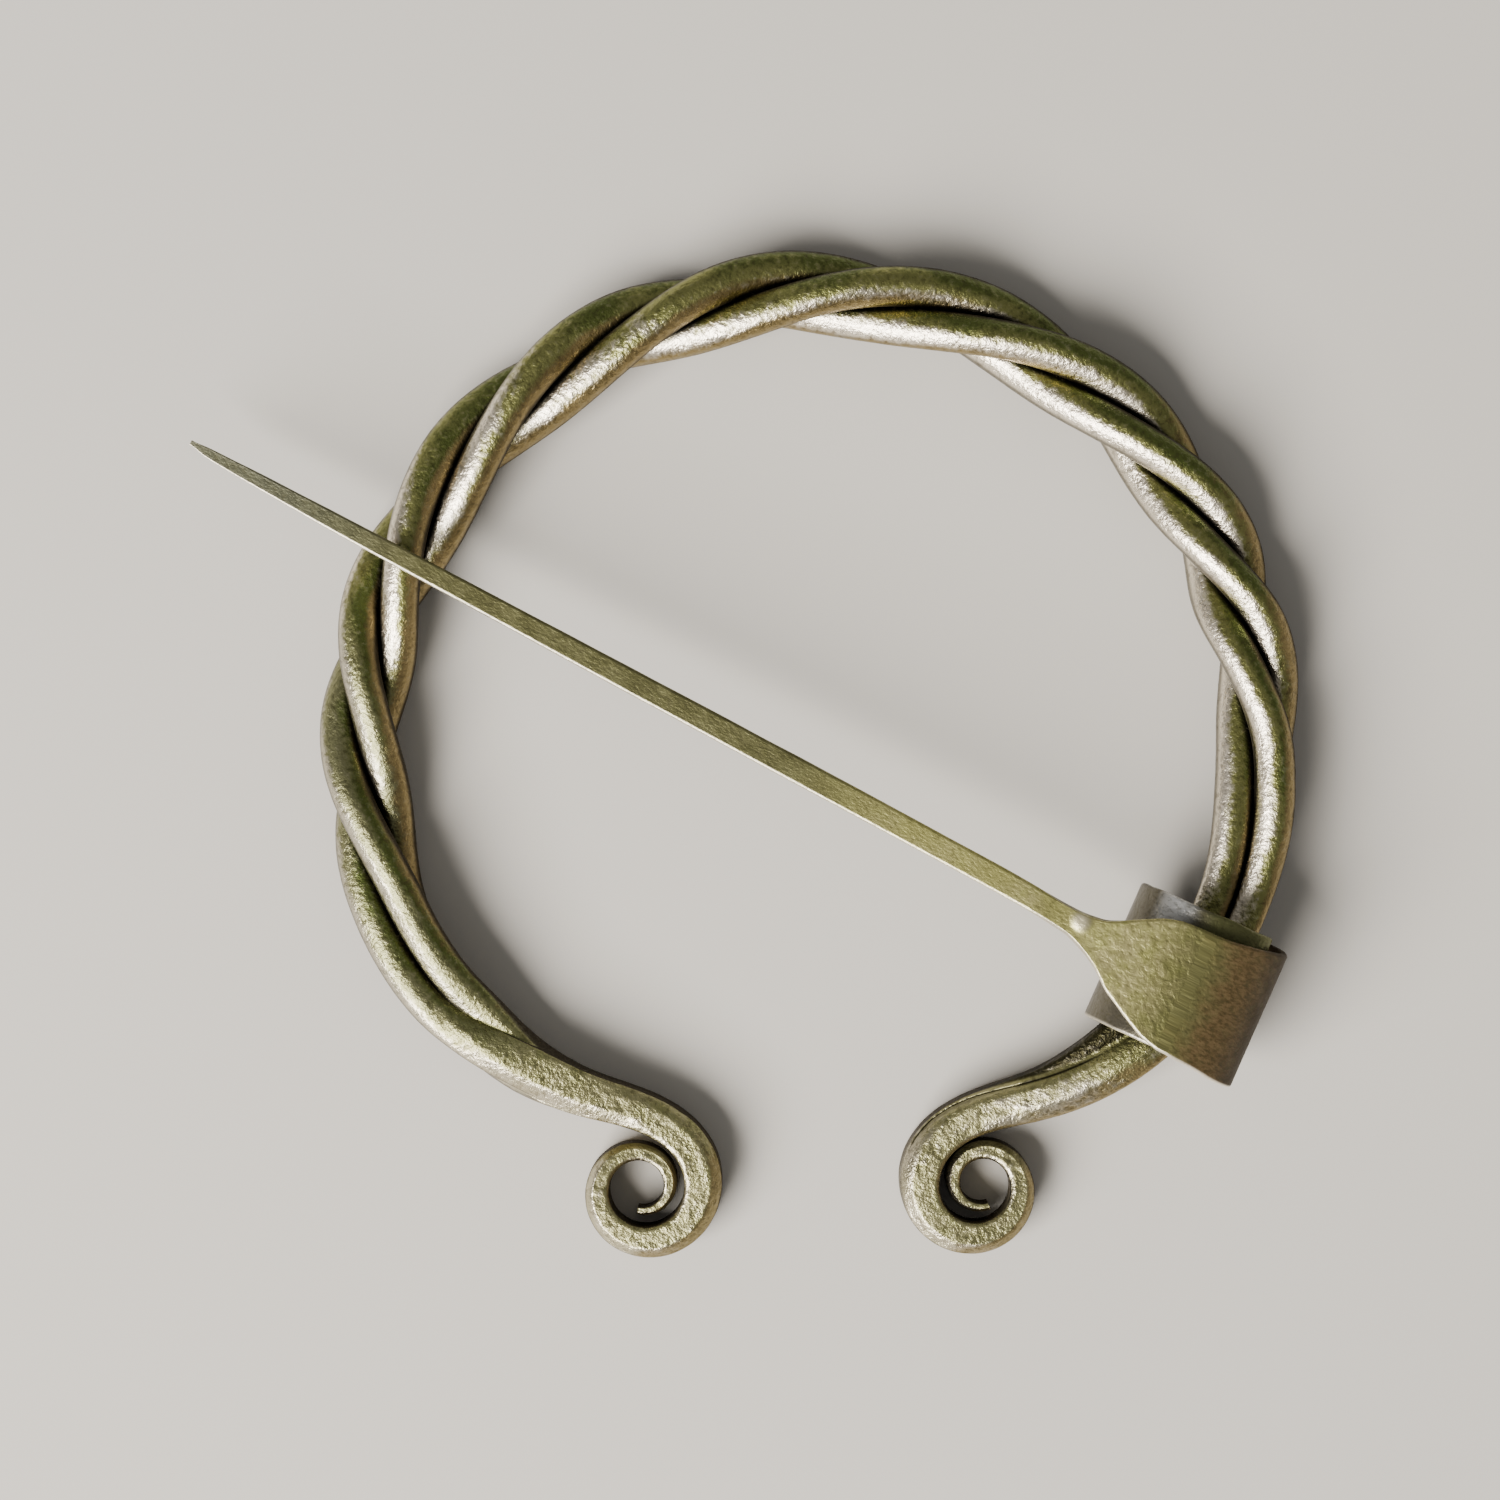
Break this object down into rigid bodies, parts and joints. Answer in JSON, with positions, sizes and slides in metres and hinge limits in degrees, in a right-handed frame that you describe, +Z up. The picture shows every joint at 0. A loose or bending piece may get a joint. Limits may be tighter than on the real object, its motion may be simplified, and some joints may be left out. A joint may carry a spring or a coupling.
{
  "type": "fibula brooch",
  "caption": "Penannular cloak brooch: an open ring of twisted rods ending in flat scrolls, with a long flat pin whose leaf-shaped head is rolled loosely round the ring.",
  "frame": {"origin": "bottom centre of the brooch's box, as it lies flat on a table", "axes": "+X and +Y along the table, the gap between the scrolls towards -Y and the pin's tip towards -X; +Z up"},
  "size_m": [0.0772, 0.0706, 0.0115],
  "materials": {
    "hoop_metal": "forged and hammered iron, worn bright on the ridges, with an olive-green patina in the grooves",
    "pin_metal": "forged iron with a satin olive patina, mottled grey-green and brown"
  },
  "bodies": {
    "ring": {"hoop": "hoop_metal"},
    "pin": {"pin": "pin_metal"}
  },
  "joints": [
    {"name": "pin_lift", "type": "hinge", "parent": "ring", "child": "pin", "pos_m": [0.03025, -0.01544, 0.00528], "axis": [0.403, 0.9152, 0], "range_deg": [0, 175]}
  ]
}
